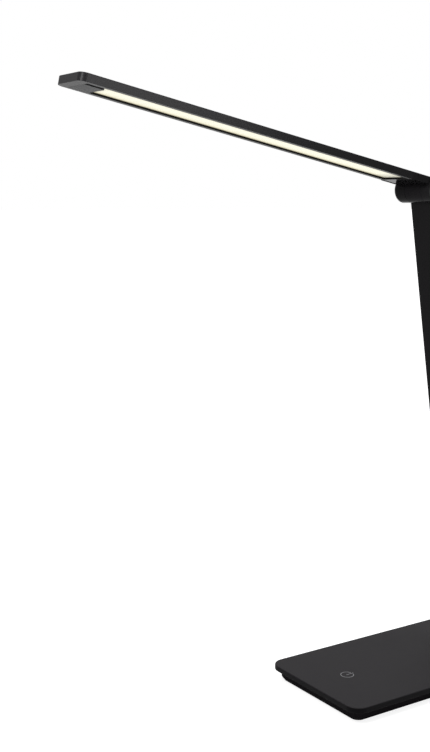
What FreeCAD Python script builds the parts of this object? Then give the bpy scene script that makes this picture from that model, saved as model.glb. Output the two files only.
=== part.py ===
import FreeCAD, Part
import os
import re
import Sketcher

# Folding LED table lamp: a flat weighted base, a flat arm and a slim light bar.
# Millimetres, +Z up. The origin is the centre of the base's underside, the base's long
# axis is X, the light bar reaches towards -X, and the hinge barrels lie along Y.

dims = {
    # Fits shared by the whole lamp
    "fit_gap": 0.1,
    "run_gap": 0.05,
    "part_gap": 0.4,
    "overrun": 1.0,
    # Top plate
    "base_length": 195.0,
    "base_width": 108.0,
    "base_corner": 10.0,
    "plate_thickness": 4.2,
    "plate_edge": 0.8,
    # Tray
    "tray_inset": 7.3,
    "tray_height": 8.8,
    "tray_wall": 2.0,
    "tray_floor": 2.0,
    "tray_corner": 6.0,
    "boss_radius": 2.4,
    "boss_height": 1.0,
    # Anti-slip pad
    "pad_thickness": 0.8,
    "pad_margin": 4.0,
    "pad_corner": 5.0,
    # Ballast
    "ballast_gap": 0.8,
    "ballast_margin": 4.7,
    "ballast_setback": 19.5,
    "ballast_corner": 4.0,
    # Housing screws and the posts that take them
    "post_radius": 3.2,
    "post_margin": 5.0,
    "screw_radius": 1.0,
    "screw_head_radius": 2.1,
    "screw_head_height": 1.0,
    "screw_reach": 6.0,
    # Touch mark, a ring with a gap and a bar
    "icon_place": 36.6,
    "icon_radius": 5.5,
    "icon_stroke": 0.9,
    "icon_gap": 3.4,
    "icon_depth": 0.4,
    "electrode_radius": 9.0,
    "electrode_thickness": 0.5,
    "spring_radius": 1.6,
    # Control board
    "board_length": 44.0,
    "board_width": 36.0,
    "board_thickness": 1.6,
    "board_margin": 6.7,
    "chip_size": 7.0,
    "chip_height": 1.2,
    "coil_radius": 3.6,
    "coil_gap": 0.8,
    "plug_length": 7.0,
    "plug_width": 6.0,
    "plug_gap": 1.0,
    "plug_spacing": 20.0,
    # DC inlet, its place measured from the tray's inner side
    "inlet_place": 18.7,
    "inlet_length": 11.0,
    "inlet_width": 8.0,
    "inlet_gap": 0.8,
    "nose_margin": 0.3,
    "inlet_bore": 1.9,
    "inlet_depth": 8.5,
    "inlet_pin": 0.6,
    "inlet_pin_back": 1.0,
    # Wires
    "wire_radius": 0.9,
    "wire_lead": 5.0,
    "lead_radius": 1.2,
    "lead_slot": 4.0,
    "wire_hole": 1.6,
    # Hinge barrels, alike at both ends of the arm
    "barrel_radius": 10.0,
    "barrel_step": 2.5,
    "knuckle_width": 17.1,
    "axle_radius": 3.0,
    "axle_head_radius": 4.6,
    "axle_head_height": 2.4,
    "pocket_gap": 0.3,
    "nut_radius": 5.2,
    "nut_height": 2.4,
    "spring_height": 0.9,
    "washer_radius": 8.4,
    "washer_thickness": 0.3,
    "cap_thickness": 1.5,
    "cap_spigot": 0.4,
    "cap_edge": 0.5,
    # Hinge foot
    "hinge_setback": 31.25,
    "foot_length": 26.0,
    "foot_width": 23.0,
    "foot_thickness": 2.2,
    "foot_gap": 0.8,
    "foot_corner": 6.0,
    "foot_edge": 0.5,
    "neck_length": 13.0,
    "foot_screw_radius": 1.25,
    "foot_screw_head": 2.5,
    "foot_screw_height": 1.6,
    "foot_screw_spacing": 12.0,
    "foot_screw_margin": 1.0,
    # Arm
    "arm_length": 369.4,
    "arm_lean": 8.95,
    "arm_step": 2.0,
    "arm_thickness": 6.0,
    "arm_wall": 0.9,
    "arm_corner": 1.2,
    "head_offset": 4.2,
    "fork_reach": 16.0,
    "tongue_length": 18.0,
    # Swivel
    "swivel_gap": 0.8,
    "plug_wall": 0.55,
    "plug_floor": 1.0,
    "shoulder_radius": 2.9,
    "swivel_washer": 0.4,
    "bush_wall": 0.35,
    "bush_gap": 2.0,
    "groove_depth": 0.4,
    "groove_place": 9.5,
    "post_tail": 3.5,
    "retainer_width": 8.0,
    "retainer_thickness": 1.0,
    "retainer_set": 0.6,
    # Head
    "head_length": 306.0,
    "head_lift": 11.7,
    "head_width": 35.0,
    "head_rise": 2.1,
    "head_edge": 0.6,
    "head_wall": 1.4,
    "head_top": 1.2,
    "lip_thickness": 1.0,
    "lip_width": 4.4,
    "block_length": 22.0,
    "head_tongue": 12.0,
    "tip_length": 13.0,
    "tip_corner": 5.0,
    "cover_length": 9.0,
    "cover_gap": 0.5,
    "diffuser_thickness": 1.3,
    "led_board_width": 22.0,
    "led_board_thickness": 1.0,
    "led_size": 2.8,
    "led_height": 0.6,
    "light_gap": 0.6,
    "head_wire_gap": 0.3,
}
led_count = 40
sides = (-1, 1)

# Places of the parts on the control board, as shares of half its length and half its width
chip_shares = ((0.45, -0.5), (-0.55, 0.5))
coil_shares = ((-0.55, -0.55), (0.4, 0.62))

doc = FreeCAD.newDocument("table_lamp")
vector = FreeCAD.Vector
sheet = doc.addObject("Spreadsheet::Sheet", "Dims")
for line, (alias, size) in enumerate(dims.items(), 1):
    sheet.set("A%d" % line, alias)
    sheet.set("B%d" % line, str(size))
    sheet.setAlias("B%d" % line, alias)
doc.recompute()


# Helpers

def bound(text):
    return re.sub(r"[a-z]\w*", lambda word: "Dims." * (word.group() in dims) + word.group(), text)


def bind(item, **texts):
    for name, text in texts.items():
        item.setExpression(name.replace("_at_", "."), bound(text))
    return item


def place(item, x, y, z):
    return bind(item, Placement_at_Base_at_x=x, Placement_at_Base_at_y=y, Placement_at_Base_at_z=z)


def block(name, size, low):
    item = doc.addObject("Part::Box", name)
    bind(item, Length=size[0], Width=size[1], Height=size[2])
    return place(item, *low)


def rod(name, radius, length, start, axis="z"):
    turns = {"x": (vector(0, 1, 0), 90), "y": (vector(1, 0, 0), -90), "z": (vector(0, 0, 1), 0)}
    item = doc.addObject("Part::Cylinder", name)
    item.Placement = FreeCAD.Placement(vector(), FreeCAD.Rotation(*turns[axis]))
    bind(item, Radius=radius, Height=length)
    return place(item, *start)


def fuse(name, items):
    item = doc.addObject("Part::MultiFuse", name)
    item.Shapes = items
    item.Refine = True
    return item


def cut(name, base, tools):
    item = doc.addObject("Part::Cut", name)
    item.Base = base
    item.Tool = tools[0] if len(tools) == 1 else fuse(name + "_tools", tools)
    item.Refine = True
    return item


def group(name, items):
    item = doc.addObject("Part::Compound", name)
    item.Links = items
    return item


def ring(name, outer, inner, length, start, axis="z"):
    hole = rod(name + "_hole", inner, length, start, axis)
    return cut(name, rod(name + "_disc", outer, length, start, axis), [hole])


def edges_where(shape, test):
    return ["Edge%d" % number for number, edge in enumerate(shape.Edges, 1) if test(edge)]


def runs_along(edge, direction):
    straight = edge.Curve.TypeId == "Part::GeomLine"
    return straight and abs(edge.tangentAt(edge.FirstParameter).dot(direction)) > 0.999


def rectangle(body, role, width, height, offset):
    sketch = body.newObject("Sketcher::SketchObject", body.Name + "_outline")
    plane = [feature for feature in body.Origin.OriginFeatures if feature.Role == role][0]
    sketch.AttachmentSupport = [(plane, "")]
    sketch.MapMode = "FlatFace"
    corners = [vector(0, 0, 0), vector(1, 0, 0), vector(1, 1, 0), vector(0, 1, 0)]
    for number in range(4):
        sketch.addGeometry(Part.LineSegment(corners[number], corners[(number + 1) % 4]))
    for number in range(4):
        sketch.addConstraint(Sketcher.Constraint("Coincident", number, 2, (number + 1) % 4, 1))
        sketch.addConstraint(Sketcher.Constraint("Vertical" if number % 2 else "Horizontal", number))
    sketch.addConstraint(Sketcher.Constraint("Symmetric", 0, 1, 1, 2, -1, 1))
    across = sketch.addConstraint(Sketcher.Constraint("DistanceX", 0, 1, 0, 2, 1))
    along = sketch.addConstraint(Sketcher.Constraint("DistanceY", 1, 1, 1, 2, 1))
    sketch.renameConstraint(across, "across")
    sketch.renameConstraint(along, "along")
    bind(sketch, Constraints_at_across=width, Constraints_at_along=height)
    bind(sketch, AttachmentOffset_at_Base_at_x=offset[0], AttachmentOffset_at_Base_at_y=offset[1])
    return bind(sketch, AttachmentOffset_at_Base_at_z=offset[2])


def bar(name, role, width, height, depth, offset, corner=None):
    # A pad of a rectangle, with the edges along the pad rounded
    body = doc.addObject("PartDesign::Body", name)
    pad = body.newObject("PartDesign::Pad", name + "_pad")
    pad.Profile = rectangle(body, role, width, height, offset)
    bind(pad, Length=depth)
    doc.recompute()
    if corner:
        direction = pad.Profile[0].Placement.Rotation.multVec(vector(0, 0, 1))
        soften(body, corner, lambda edge: runs_along(edge, direction))
    return body


def soften(body, radius, test):
    doc.recompute()
    earlier = body.Tip
    names = edges_where(earlier.Shape, test)
    fillet = body.newObject("PartDesign::Fillet", body.Name + "_round")
    fillet.Base = (earlier, names)
    bind(fillet, Radius=radius)
    return body


def lies_at(edge, height):
    box = edge.BoundBox
    return abs(box.ZMin - height) + abs(box.ZMax - height) < sheet.overrun / 1000


def seat(item, x, z, axis, angle):
    item.Placement = FreeCAD.Placement(vector(), FreeCAD.Rotation(axis, 1))
    place(item, x, "0", z)
    return bind(item, Placement_at_Rotation_at_Angle=angle)


# Heights and lengths that several pieces share

tray_length = "(base_length - 2 * tray_inset)"
tray_width = "(base_width - 2 * tray_inset)"
tray_depth = "(tray_height - tray_floor)"
tray_end = f"({tray_length} / 2 - tray_wall)"
tray_side = f"({tray_width} / 2 - tray_wall)"
floor_top = "(pad_thickness + tray_floor)"
tray_top = "(pad_thickness + tray_height)"
plate_top = f"({tray_top} + plate_thickness)"
icon_x = "(icon_place - base_length / 2)"
board_x = f"(board_margin + board_length / 2 - {tray_end})"
board_rear = f"({board_x} + board_length / 2)"
board_low = f"({floor_top} + boss_height)"
board_top = f"({board_low} + board_thickness)"
board_room = f"({tray_depth} - boss_height - board_thickness)"
inlet_height = f"({tray_depth} - inlet_gap)"
inlet_nose = f"({inlet_height} / 2 - nose_margin)"
inlet_y = f"({tray_side} - inlet_place)"
wire_level = f"({floor_top} + {inlet_height} / 2)"
gutter = f"({tray_side} - ballast_margin / 2)"
hinge_rise = "(foot_thickness + foot_gap + barrel_radius)"
hinge_x = "(base_length / 2 - hinge_setback)"
hinge_z = f"({plate_top} + {hinge_rise})"
head_x = f"({hinge_x} - arm_length * sin(arm_lean) - head_offset * cos(arm_lean))"
head_z = f"({hinge_z} + arm_length * cos(arm_lean) - head_offset * sin(arm_lean))"
barrel_length = "(head_width + 2 * barrel_step)"
pocket_radius = "(nut_radius + part_gap)"
pocket_depth = "(spring_height + nut_height + cap_spigot + pocket_gap)"
cheek_in = "(knuckle_width / 2 + washer_thickness + 3 * run_gap)"
cheek_out = f"({barrel_length} / 2 - cap_thickness)"
pocket_in = f"({cheek_out} - {pocket_depth})"
post_size = "(arm_thickness / 2 - plug_wall - bush_wall - 2 * run_gap)"
post_length = "(groove_place + post_tail)"
plug_reach = f"({post_length} + plug_floor)"
bush_length = "(groove_place - retainer_thickness / 2 - bush_gap)"
arm_width = "(head_width - 2 * arm_step)"
arm_end = f"(arm_length - barrel_radius - swivel_gap - {plug_reach})"
arm_inner = "(arm_thickness - 2 * arm_wall)"
tongue_width = f"({arm_width} - 2 * arm_wall - 2 * fit_gap)"
tongue_thickness = f"({arm_inner} - 2 * fit_gap)"
head_lip = "(head_rise + lip_thickness)"
diffuser_top = f"({head_lip} + diffuser_thickness)"
head_ceiling = f"({diffuser_top} + light_gap + led_height + led_board_thickness)"
head_thickness = f"({head_ceiling} + head_top - head_rise)"
head_middle = f"(head_rise + {head_thickness} / 2)"
wire_middle = f"(({diffuser_top} + {head_ceiling}) / 2)"
head_wire = f"(({head_ceiling} - {diffuser_top}) / 2 - head_wire_gap)"
opening_width = "(head_width - 2 * lip_width)"
channel_width = "(head_width - 2 * head_wall)"
profile_end = "(head_length - tip_length)"
light_start = f"({profile_end} - cover_length)"


def arm_frame(item):
    return seat(item, hinge_x, hinge_z, vector(0, -1, 0), "arm_lean")


def swivel_frame(item):
    return seat(item, head_x, head_z, vector(0, -1, 0), "arm_lean")


def head_frame(item):
    return seat(item, head_x, head_z, vector(0, 1, 0), "head_lift")


# Base

def plate_corners():
    along = f"({tray_end} - post_margin)"
    across = f"({tray_side} - post_margin)"
    return [(f"{sx} * {along}", f"{sy} * {across}") for sx in sides for sy in sides]


def make_tray():
    shell = bar("tray_shell", "XY_Plane", tray_length, tray_width, "tray_height",
                ("0", "0", "pad_thickness"), "tray_corner")
    hollow = bar("tray_hollow", "XY_Plane", f"2 * {tray_end}", f"2 * {tray_side}",
                 "tray_height", ("0", "0", floor_top), "tray_corner - tray_wall")
    bosses = [rod("tray_boss", "boss_radius", "boss_height",
                  (f"{board_x} + {sx} * (board_length / 2 - boss_radius)",
                   f"{sy} * (board_width / 2 - boss_radius)", floor_top)) for sx in sides for sy in sides]
    holes = []
    for x, y in plate_corners():
        holes.append(rod("tray_screw_hole", "screw_radius + fit_gap", "tray_floor + 2 * overrun",
                         (x, y, "pad_thickness - overrun")))
        holes.append(rod("tray_screw_seat", "screw_head_radius + fit_gap", "screw_head_height + fit_gap",
                         (x, y, "pad_thickness")))
    holes.append(rod("tray_inlet_hole", f"{inlet_nose} + fit_gap", "tray_wall + 2 * overrun",
                     (f"{tray_end} - overrun", inlet_y, wire_level), "x"))
    return cut("base_tray", fuse("tray_body", [cut("tray_box", shell, [hollow])] + bosses), holes)


def make_icon():
    low = f"{plate_top} - icon_depth"
    circle = ring("icon_ring", "icon_radius", "icon_radius - icon_stroke", "icon_depth", (icon_x, "0", low))
    gap = block("icon_opening", ("icon_radius + overrun", "icon_gap", "icon_depth"),
                (icon_x, "-icon_gap / 2", low))
    stroke = block("icon_bar", ("icon_radius", "icon_stroke", "icon_depth"),
                   (f"{icon_x} + icon_stroke", "-icon_stroke / 2", low))
    return group("touch_icon", [cut("icon_arc", circle, [gap]), stroke])


def make_top_plate(icon):
    top = bar("plate_body", "XY_Plane", "base_length", "base_width", "plate_thickness",
              ("0", "0", tray_top), "base_corner")
    top = soften(top, "plate_edge", lambda edge: lies_at(edge, top.Shape.BoundBox.ZMax))
    posts = [rod("plate_post", "post_radius", tray_depth, (x, y, floor_top))
             for x, y in plate_corners()]
    holes = [rod("plate_pilot", "screw_radius + run_gap", "screw_reach + fit_gap", (x, y, floor_top))
             for x, y in plate_corners()]
    for side in sides:
        holes.append(rod("plate_foot_hole", "foot_screw_radius + run_gap", "plate_thickness + 2 * overrun",
                         (hinge_x, f"{side} * foot_screw_spacing / 2", f"{tray_top} - overrun")))
    holes.append(rod("plate_wire_hole", "wire_hole", "plate_thickness + 2 * overrun",
                     (hinge_x, "0", f"{tray_top} - overrun")))
    marked = cut("plate_with_mark", fuse("plate_with_posts", [top] + posts), [icon])
    return cut("base_top_plate", marked, holes)


def screw(name, head_radius, head_height, radius, reach, x, y, z):
    # Head below z, shank from z upwards
    head = rod(name + "_head", head_radius, head_height, (x, y, f"{z} - {head_height}"))
    shank = rod(name + "_shank", radius, reach, (x, y, z))
    return fuse(name, [head, shank])


def make_base_inside():
    ballast_low = f"({board_rear} + 2 * wire_lead)"
    ballast_high = f"({hinge_x} - ballast_setback)"
    ballast = bar("ballast_plate", "XY_Plane", f"{ballast_high} - {ballast_low}",
                  f"2 * ({tray_side} - ballast_margin)", f"{tray_depth} - ballast_gap",
                  (f"({ballast_low} + {ballast_high}) / 2", "0", floor_top), "ballast_corner")
    pad = bar("antislip_pad", "XY_Plane", f"{tray_length} - 2 * pad_margin",
              f"{tray_width} - 2 * pad_margin", "pad_thickness", ("0", "0", "0"), "pad_corner")
    board = bar("control_board", "XY_Plane", "board_length", "board_width", "board_thickness",
                (board_x, "0", board_low), "boss_radius / 2")
    electrode = rod("touch_electrode", "electrode_radius", "electrode_thickness",
                    (icon_x, "0", f"{tray_top} - electrode_thickness"))
    contact = rod("touch_spring", "spring_radius", f"{tray_top} - electrode_thickness - {board_top}",
                  (icon_x, "0", board_top))
    loads = []
    for along, across in chip_shares:
        loads.append(block("board_chip", ("chip_size", "chip_size", "chip_height"),
                           (f"{board_x} + {along} * board_length / 2 - chip_size / 2",
                            f"{across} * board_width / 2 - chip_size / 2", board_top)))
    for along, across in coil_shares:
        loads.append(rod("board_coil", "coil_radius", f"{board_room} - coil_gap",
                         (f"{board_x} + {along} * board_length / 2", f"{across} * board_width / 2",
                          board_top)))
    for side in sides:
        loads.append(block("board_plug", ("plug_length", "plug_width", f"{board_room} - plug_gap"),
                           (f"{board_rear} - plug_length", f"{side} * plug_spacing / 2 - plug_width / 2",
                            board_top)))
    screws = [screw("base_screw", "screw_head_radius", "screw_head_height", "screw_radius",
                    "tray_floor - screw_head_height + screw_reach", x, y,
                    "(pad_thickness + screw_head_height)") for x, y in plate_corners()]
    groups = [group("board_parts", loads), group("base_screws", screws)]
    return [ballast, pad, board, electrode, contact] + groups


def make_inlet():
    mouth = f"({tray_length} / 2)"
    case = block("inlet_case", ("inlet_length", "inlet_width", inlet_height),
                 (f"{tray_end} - inlet_length", f"{inlet_y} - inlet_width / 2", floor_top))
    nose = rod("inlet_nose_rod", inlet_nose, "tray_wall + inlet_length / 2",
               (f"{tray_end} - inlet_length / 2", inlet_y, wire_level), "x")
    bore = rod("inlet_bore_rod", "inlet_bore", "inlet_depth + overrun",
               (f"{mouth} - inlet_depth", inlet_y, wire_level), "x")
    pin = rod("dc_pin", "inlet_pin", "inlet_depth - inlet_pin_back",
              (f"{mouth} - inlet_depth", inlet_y, wire_level), "x")
    return [cut("dc_inlet", fuse("inlet_solid", [case, nose]), [bore]), pin]


def make_wires():
    # Two leads along the tray's sides: from the inlet to the board, and from the board to the hinge foot
    inlet_rear = f"({tray_end} - inlet_length)"
    turn_x = f"({inlet_rear} - wire_lead)"
    lead_x = f"({board_rear} + wire_lead)"
    plug_y = "(plug_spacing / 2)"
    ends = {1: [(inlet_rear, inlet_y), (turn_x, inlet_y), (turn_x, gutter)],
            -1: [(hinge_x, "0"), (hinge_x, f"-{gutter}")]}
    leads = []
    for side in sides:
        flat = ends[side] + [(lead_x, f"{side} * {gutter}"), (lead_x, f"{side} * {plug_y}"),
                             (board_rear, f"{side} * {plug_y}")]
        route = [(x, y, wire_level) for x, y in flat]
        if side < 0:
            route.insert(0, (hinge_x, "0", f"{hinge_z} - axle_radius - lead_slot"))
        leads.append(lead("base_lead", route))
    return group("base_wires", leads)


def lead(name, route):
    # Straight round runs, each along one axis, with a ball at every turn
    runs = []
    for start, end in zip(route, route[1:]):
        axis = [index for index in range(3) if start[index] != end[index]][0]
        low = list(start)
        low[axis] = f"min({start[axis]}; {end[axis]})"
        span = f"abs(({end[axis]}) - ({start[axis]}))"
        runs.append(rod(name + "_run", "wire_radius", span, low, "xyz"[axis]))
    for point in route[1:-1]:
        ball = doc.addObject("Part::Sphere", name + "_turn")
        runs.append(place(bind(ball, Radius="wire_radius"), *point))
    return fuse(name, runs)


def make_foot():
    sole = bar("foot_sole", "XY_Plane", "foot_length", "foot_width", "foot_thickness",
               (hinge_x, "0", plate_top), "foot_corner")
    sole = soften(sole, "foot_edge", lambda edge: lies_at(edge, sole.Shape.BoundBox.ZMax))
    neck = block("foot_neck", ("neck_length", "knuckle_width", hinge_rise),
                 (f"{hinge_x} - neck_length / 2", "-knuckle_width / 2", plate_top))
    knuckle = rod("foot_knuckle", "barrel_radius", "knuckle_width",
                  (hinge_x, "-knuckle_width / 2", hinge_z), "y")
    holes = [rod("foot_bore", "axle_radius + run_gap", "knuckle_width + 2 * overrun",
                 (hinge_x, "-knuckle_width / 2 - overrun", hinge_z), "y"),
             rod("foot_wire_hole", "wire_hole", f"{hinge_rise} + overrun",
                 (hinge_x, "0", f"{plate_top} - overrun"))]
    reach = f"({hinge_rise} - axle_radius - foot_screw_margin)"
    screws = []
    for side in sides:
        across = f"{side} * foot_screw_spacing / 2"
        holes.append(rod("foot_pilot", "foot_screw_radius + run_gap", f"{reach} + overrun + fit_gap",
                         (hinge_x, across, f"{plate_top} - overrun")))
        screws.append(screw("foot_screw", "foot_screw_head", "foot_screw_height", "foot_screw_radius",
                            f"plate_thickness + {reach}", hinge_x, across, tray_top))
    foot = cut("hinge_foot", fuse("foot_solid", [sole, neck, knuckle]), holes)
    return [foot, group("foot_screws", screws)]


# Hinges: what is alike in both barrels

def cheeks(name):
    return [rod(name + "_cheek", "barrel_radius", f"{cheek_out} - {cheek_in}",
                ("0", cheek_in if side > 0 else f"-{cheek_out}", "0"), "y") for side in sides]


def barrel_cuts(name):
    # Room for the middle knuckle, the axle's bore and the pockets for its head and nut
    holes = [rod(name + "_room", "barrel_radius + part_gap", f"2 * {cheek_in}",
                 ("0", f"-{cheek_in}", "0"), "y"),
             rod(name + "_bore", "axle_radius + run_gap", f"2 * {cheek_out}",
                 ("0", f"-{cheek_out}", "0"), "y")]
    for side in sides:
        holes.append(rod(name + "_pocket", pocket_radius, f"{pocket_depth} + overrun",
                         ("0", pocket_in if side > 0 else f"-{cheek_out} - overrun", "0"), "y"))
    return holes


def make_cap(name, side):
    start = cheek_out if side > 0 else f"-{cheek_out} - cap_thickness"
    disc = rod(name + "_disc", "barrel_radius", "cap_thickness - cap_edge",
               ("0", cheek_out if side > 0 else f"{start} + cap_edge", "0"), "y")
    rim = doc.addObject("Part::Cone", name + "_rim")
    rim.Placement = FreeCAD.Placement(vector(), FreeCAD.Rotation(vector(1, 0, 0), -90))
    bind(rim, Height="cap_edge")
    if side > 0:
        bind(rim, Radius1="barrel_radius", Radius2="barrel_radius - cap_edge")
        place(rim, "0", f"{start} + cap_thickness - cap_edge", "0")
    else:
        bind(rim, Radius1="barrel_radius - cap_edge", Radius2="barrel_radius")
        place(rim, "0", start, "0")
    spigot = rod(name + "_spigot", f"{pocket_radius} - fit_gap", "cap_spigot",
                 ("0", f"{cheek_out} - cap_spigot" if side > 0 else f"-{cheek_out}", "0"), "y")
    return fuse(name, [disc, rim, spigot])


def make_hinge_set(name, frame):
    head = rod(name + "_axle_head", "axle_head_radius", "axle_head_height",
               ("0", f"-{pocket_in} - axle_head_height", "0"), "y")
    shank = rod(name + "_axle_shank", "axle_radius", f"{pocket_in} + {cheek_out} - cap_spigot - fit_gap",
                ("0", f"-{pocket_in}", "0"), "y")
    axle = fuse(name + "_axle", [head, shank])
    cone = doc.addObject("Part::Cone", name + "_spring_cone")
    cone.Placement = FreeCAD.Placement(vector(), FreeCAD.Rotation(vector(1, 0, 0), -90))
    bind(cone, Radius1="nut_radius", Radius2="(axle_radius + nut_radius) / 2", Height="spring_height")
    place(cone, "0", pocket_in, "0")
    eye = rod(name + "_spring_hole", "axle_radius + run_gap", "spring_height", ("0", pocket_in, "0"), "y")
    spring = cut(name + "_disc_spring", cone, [eye])
    hexagon = doc.addObject("Part::Prism", name + "_nut_hexagon")
    hexagon.Placement = FreeCAD.Placement(vector(), FreeCAD.Rotation(vector(1, 0, 0), -90))
    hexagon.Polygon = 6
    bind(hexagon, Circumradius="nut_radius", Height="nut_height")
    place(hexagon, "0", f"{pocket_in} + spring_height", "0")
    thread = rod(name + "_nut_hole", "axle_radius + run_gap", "nut_height",
                 ("0", f"{pocket_in} + spring_height", "0"), "y")
    nut = cut(name + "_nut", hexagon, [thread])
    washers = [ring(name + "_washer", "washer_radius", "axle_radius + fit_gap", "washer_thickness",
                    ("0", f"{cheek_in} - washer_thickness" if side > 0 else f"-{cheek_in}", "0"), "y")
               for side in sides]
    caps = [make_cap(name + "_cap", side) for side in sides]
    made = [axle, spring, nut, group(name + "_friction_washers", washers), group(name + "_caps", caps)]
    return [frame(item) for item in made]


# Arm, in its own frame: origin on the base hinge's axis, +Z along the arm's middle, +X to the back

def make_arm_tube():
    outer = bar("tube_outer", "XY_Plane", "arm_thickness", arm_width, f"{arm_end} - fork_reach",
                ("0", "0", "fork_reach"), "arm_corner")
    inner = bar("tube_inner", "XY_Plane", arm_inner, f"{arm_width} - 2 * arm_wall", arm_end,
                ("0", "0", "fork_reach - overrun"))
    return arm_frame(cut("arm_tube", outer, [inner]))


def lead_slot_cut(name, low, height):
    return block(name, (arm_inner, "lead_slot", height),
                 (f"-{arm_inner} / 2", "-lead_slot / 2", low))


def tongue(name, low):
    return block(name, (tongue_thickness, tongue_width, "tongue_length"),
                 (f"-{tongue_thickness} / 2", f"-{tongue_width} / 2", low))


def make_arm_fork():
    root = bar("fork_root", "XY_Plane", "arm_thickness", arm_width, "fork_reach",
               ("0", "0", "0"), "arm_corner")
    solid = fuse("fork_solid", cheeks("fork") + [root, tongue("fork_tongue", "fork_reach")])
    slot = lead_slot_cut("fork_lead_slot", "fork_reach", "tongue_length + overrun")
    hole = rod("fork_lead_hole", "lead_radius + fit_gap", "fork_reach + overrun", ("0", "0", "0"))
    return arm_frame(cut("arm_lower_fork", solid, barrel_cuts("fork") + [slot, hole]))


def make_arm_plug():
    top = f"({arm_end} + {plug_reach})"
    groove_z = f"({top} - groove_place)"
    plate_low = f"({groove_z} - retainer_thickness / 2)"
    front = "(-arm_thickness / 2)"
    bush_outer = f"({post_size} + run_gap + bush_wall)"
    bush_low = f"({top} - {bush_length})"
    cap = bar("plug_cap", "XY_Plane", "arm_thickness", arm_width, plug_reach,
              ("0", "0", arm_end), "arm_corner")
    solid = fuse("plug_solid", [cap, tongue("plug_tongue", f"{arm_end} - tongue_length")])
    holes = [rod("plug_bush_hole", f"{bush_outer} + run_gap", f"{bush_length} + overrun",
                 ("0", "0", bush_low)),
             rod("plug_post_hole", f"{post_size} + fit_gap", f"{plug_reach} + overrun",
                 ("0", "0", f"{arm_end} - overrun")),
             block("plug_retainer_slot",
                   ("arm_thickness - retainer_set + overrun", "retainer_width + 2 * fit_gap",
                    "retainer_thickness + 2 * run_gap"),
                   (f"{front} + retainer_set", "-retainer_width / 2 - fit_gap", f"{plate_low} - run_gap")),
             lead_slot_cut("plug_lead_slot", f"{arm_end} - tongue_length - overrun",
                           "tongue_length + overrun")]
    plug = cut("arm_top_plug", solid, holes)
    bush = ring("swivel_bush", bush_outer, f"{post_size} + run_gap", bush_length,
                ("0", "0", bush_low))
    plate = block("retainer_plate",
                  ("arm_thickness - retainer_set - fit_gap", "retainer_width", "retainer_thickness"),
                  (f"{front} + retainer_set + fit_gap", "-retainer_width / 2", plate_low))
    neck = f"({post_size} - groove_depth + run_gap)"
    eye = rod("retainer_eye", neck, "retainer_thickness + 2 * overrun",
              ("0", "0", f"{plate_low} - overrun"))
    mouth = block("retainer_mouth", ("arm_thickness", f"2 * {neck}", "retainer_thickness + 2 * overrun"),
                  ("-arm_thickness", f"-{neck}", f"{plate_low} - overrun"))
    return [arm_frame(item) for item in (plug, bush, cut("swivel_retainer", plate, [eye, mouth]))]


def make_arm_wire():
    wire = rod("arm_wire_run", "lead_radius", f"{arm_end} - fork_reach", ("0", "0", "fork_reach"))
    return arm_frame(group("arm_wire", [wire]))


# Swivel, in its own frame: origin on the head hinge's axis, +Z along the arm

def make_swivel():
    rest = "(barrel_radius + swivel_gap)"
    shoulder_low = f"({rest} - swivel_washer - 2 * run_gap)"
    post_low = f"(-{rest} - {post_length})"
    groove_width = "(retainer_thickness + 4 * fit_gap)"
    knuckle = rod("swivel_barrel", "barrel_radius", "knuckle_width", ("0", "-knuckle_width / 2", "0"), "y")
    shoulder = rod("swivel_shoulder", "shoulder_radius", f"{shoulder_low} - barrel_radius / 2",
                   ("head_offset", "0", f"-{shoulder_low}"))
    post = rod("swivel_post", post_size, f"{rest} + {post_length} - barrel_radius / 2",
               ("head_offset", "0", post_low))
    groove = ring("swivel_groove", f"{post_size} + overrun", f"{post_size} - groove_depth", groove_width,
                  ("head_offset", "0", f"-{rest} - groove_place - {groove_width} / 2"))
    holes = [rod("swivel_bore", "axle_radius + run_gap", "knuckle_width + 2 * overrun",
                 ("0", "-knuckle_width / 2 - overrun", "0"), "y"), groove,
             rod("swivel_wire_hole", f"{post_size} / 2", f"{rest} + {post_length} + 2 * barrel_radius",
                 ("head_offset", "0", f"{post_low} - overrun"))]
    body = cut("swivel_knuckle", fuse("swivel_solid", [knuckle, shoulder, post]), holes)
    washer = ring("swivel_washer", "shoulder_radius", f"{post_size} + run_gap", "swivel_washer",
                  ("head_offset", "0", f"-{rest} + 2 * run_gap"))
    return [swivel_frame(body), swivel_frame(washer)]


# Head, in its own frame: origin on the head hinge's axis, -X towards the tip, +Z up through the bar

def make_head_profile():
    outer = bar("profile_outer", "YZ_Plane", "head_width", head_thickness, f"{profile_end} - block_length",
                ("0", head_middle, f"-{profile_end}"), "head_edge")
    run = f"{profile_end} - block_length + 2 * overrun"
    start = f"-{profile_end} - overrun"
    channel = block("profile_channel", (run, channel_width, f"{head_ceiling} - {head_lip}"),
                    (start, f"-{channel_width} / 2", head_lip))
    opening = block("profile_opening", (run, opening_width, "lip_thickness + overrun"),
                    (start, f"-{opening_width} / 2", "head_rise - overrun / 2"))
    return head_frame(cut("head_profile", outer, [channel, opening]))


def head_tongue(name, length, low):
    return block(name, (length, f"{channel_width} - 2 * fit_gap",
                        f"{head_ceiling} - {diffuser_top} - 2 * fit_gap"),
                 (low, f"-{channel_width} / 2 + fit_gap", f"{diffuser_top} + fit_gap"))


def make_head_fork():
    root = bar("head_root", "YZ_Plane", "head_width", head_thickness, "block_length",
               ("0", head_middle, "-block_length"), "head_edge")
    stub = head_tongue("head_fork_tongue", "head_tongue", "-block_length - head_tongue")
    solid = fuse("head_fork_solid", cheeks("head_fork") + [root, stub])
    hole = rod("head_wire_way", f"{head_wire} + fit_gap", "block_length + head_tongue + overrun",
               ("-block_length - head_tongue - overrun", "0", wire_middle), "x")
    return head_frame(cut("head_fork", solid, barrel_cuts("head_fork") + [hole]))


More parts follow.
